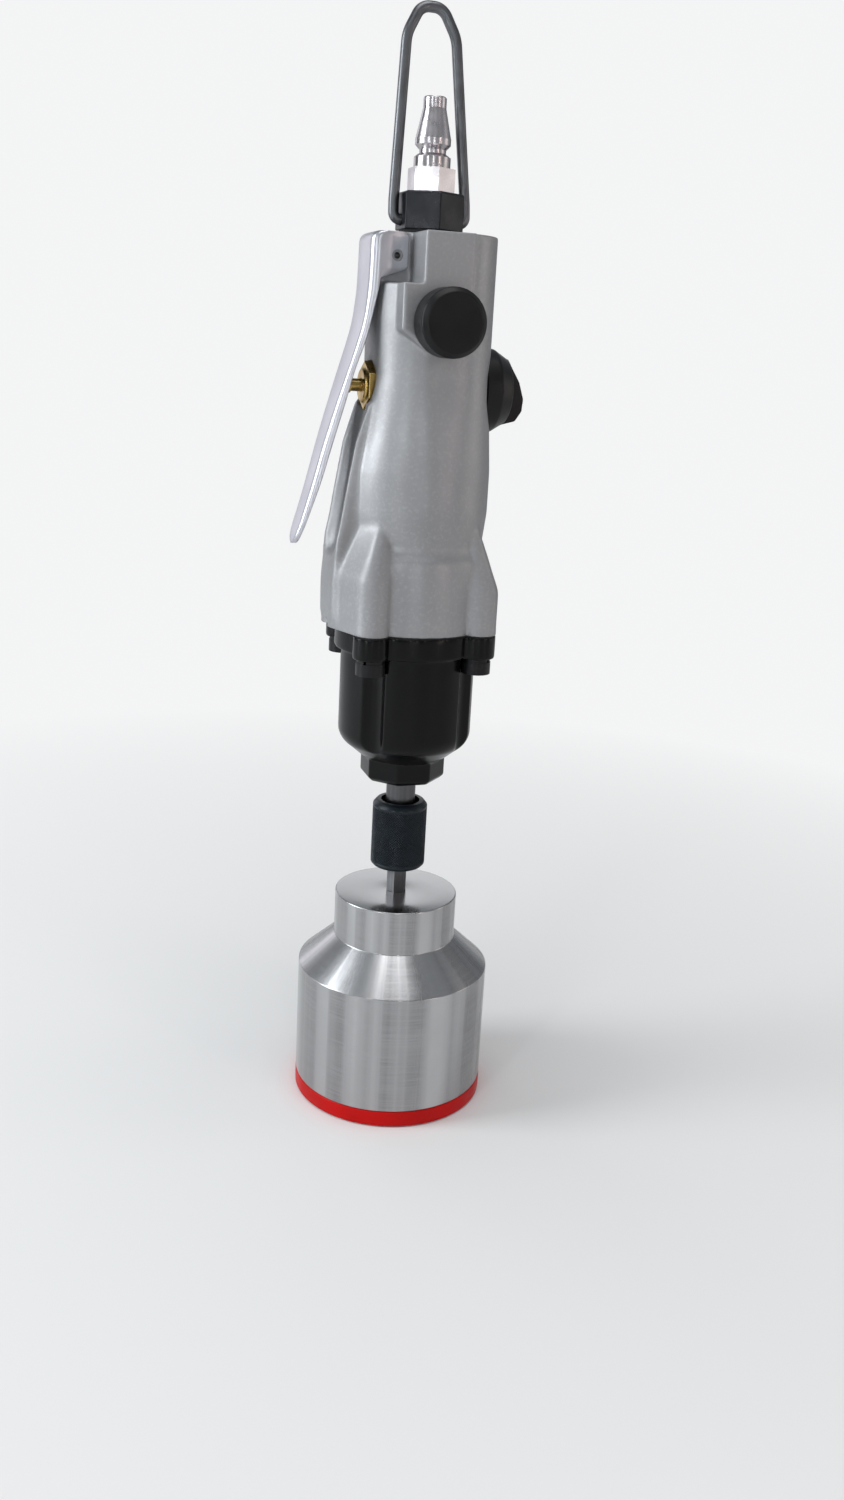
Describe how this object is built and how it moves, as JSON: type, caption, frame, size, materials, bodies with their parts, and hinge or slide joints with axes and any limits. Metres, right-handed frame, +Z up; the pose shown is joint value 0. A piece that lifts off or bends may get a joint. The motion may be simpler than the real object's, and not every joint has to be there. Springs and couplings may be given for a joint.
{
  "type": "hand-held air capping machine",
  "caption": "Lever-start air impact screwdriver on a hanging bail, driving an aluminium capping head that grips and tightens jar caps.",
  "frame": {"origin": "on the spindle axis, in the plane of the capping head's mouth", "axes": "+Z up the spindle from the mouth to the air inlet, start lever on -X, direction selector on +X, power regulator on -Y"},
  "size_m": [0.0792, 0.0706, 0.376],
  "materials": {
    "turned_aluminium": "fine lathe-turned rings, bright",
    "cast_aluminium": "satin silver-grey paint on a cast body",
    "polished_aluminium": "polished sheet",
    "black_gloss_case": "gloss black enamel",
    "black_oxide_steel": "black oxide, diamond knurl",
    "black_bolt": "black oxide",
    "black_bush": "black anodised",
    "plated_steel": "nickel-plated, slightly worn",
    "zinc_steel": "bright zinc plate",
    "wire_steel": "drawn steel wire, dull grey",
    "ground_steel": "ground and oiled",
    "hardened_steel": "hardened and tempered",
    "bearing_steel": "ground",
    "spring_steel": "oil-tempered",
    "cast_iron_plate": "ground faces",
    "bronze": "sintered, oil-filled",
    "brass_valve": "machined, tarnished",
    "brass_mesh": "perforated",
    "black_plastic": "moulded, satin",
    "red_rubber": "moulded, satin",
    "black_rubber": "moulded",
    "nylon": "turned",
    "phenolic": "laminated cloth resin",
    "grey_felt": "pressed felt",
    "gasket_fibre": "compressed fibre"
  },
  "bodies": {
    "housing": {"motor_housing": "cast_aluminium", "inlet_bush": "black_bush", "inlet_seal": "black_rubber", "inlet_screen": "brass_mesh", "air_plug": "plated_steel", "lever_pin": "spring_steel", "valve_bushing": "brass_valve", "valve_seat": "nylon", "valve_spring": "spring_steel", "detent_ball": "ground_steel", "detent_spring": "spring_steel", "rear_bearing": "bearing_steel", "rear_end_plate": "cast_iron_plate", "cylinder_liner": "ground_steel", "cylinder_dowel": "ground_steel", "front_end_plate": "cast_iron_plate", "front_bearing": "bearing_steel", "flange_gasket": "gasket_fibre", "hammer_case": "black_gloss_case", "case_bolts": "black_bolt", "spring_washers": "black_bolt", "nose_bush": "bronze", "nose_seal": "black_rubber", "exhaust_felt": "grey_felt"},
    "bail": {"bail": "wire_steel"},
    "start_lever": {"lever": "polished_aluminium"},
    "throttle": {"valve_stem": "brass_valve", "throttle_ball": "black_rubber"},
    "regulator": {"regulator_knob": "black_plastic", "regulator_valve": "brass_valve", "regulator_seal": "black_rubber"},
    "selector": {"selector_knob": "black_plastic", "selector_spool": "brass_valve", "selector_seal": "black_rubber"},
    "motor_rotor": {"rotor": "hardened_steel", "rotor_vanes": "phenolic", "hammer_cage": "hardened_steel", "hammers": "hardened_steel", "hammer_pins": "hardened_steel"},
    "spindle": {"anvil_spindle": "ground_steel", "chuck_balls": "ground_steel", "chuck_retaining_ring": "spring_steel", "chuck_spring": "spring_steel", "drive_shank": "ground_steel", "capping_head": "turned_aluminium", "gripping_liner": "red_rubber", "pressure_pad": "red_rubber", "shank_washer": "zinc_steel", "shank_nut": "zinc_steel"},
    "chuck_sleeve_body": {"chuck_sleeve": "black_oxide_steel"}
  },
  "joints": [
    {"name": "spindle_spin", "type": "hinge", "parent": "housing", "child": "spindle", "pos_m": [0, 0, 0.12], "axis": [0, 0, 1], "continuous": true},
    {"name": "rotor_spin", "type": "hinge", "parent": "housing", "child": "motor_rotor", "pos_m": [0, 0, 0.2], "axis": [0, 0, 1], "continuous": true},
    {"name": "lever_squeeze", "type": "hinge", "parent": "housing", "child": "start_lever", "pos_m": [-0.01285, 0, 0.2991], "axis": [0, -1, 0], "range_deg": [0, 5], "stiffness_Nm_per_rad": 1.5, "springref_deg": -8.59},
    {"name": "throttle_slide", "type": "slide", "parent": "housing", "child": "throttle", "axis": [1, 0, 0], "range_m": [0, 0.0034], "deforming": ["valve_spring"]},
    {"name": "regulator_turn", "type": "hinge", "parent": "housing", "child": "regulator", "pos_m": [0, -0.027, 0.2794], "axis": [0, -1, 0], "range_deg": [-90, 90]},
    {"name": "selector_turn", "type": "hinge", "parent": "housing", "child": "selector", "pos_m": [0.025, 0, 0.2588], "axis": [1, 0, 0], "range_deg": [0, 90]},
    {"name": "sleeve_pull", "type": "slide", "parent": "spindle", "child": "chuck_sleeve_body", "axis": [0, 0, -1], "range_m": [0, 0.004], "stiffness_N_per_m": 1500, "springref_m": -0.004, "deforming": ["chuck_spring"]},
    {"name": "bail_swing", "type": "hinge", "parent": "housing", "child": "bail", "pos_m": [0, 0, 0.3105], "axis": [1, 0, 0], "range_deg": [-80, 94]}
  ],
  "couplings": [
    {"joint": "rotor_spin", "follows": "spindle_spin", "ratio": 1},
    {"joint": "throttle_slide", "follows": "lever_squeeze", "m_per_rad": 0.0389}
  ]
}
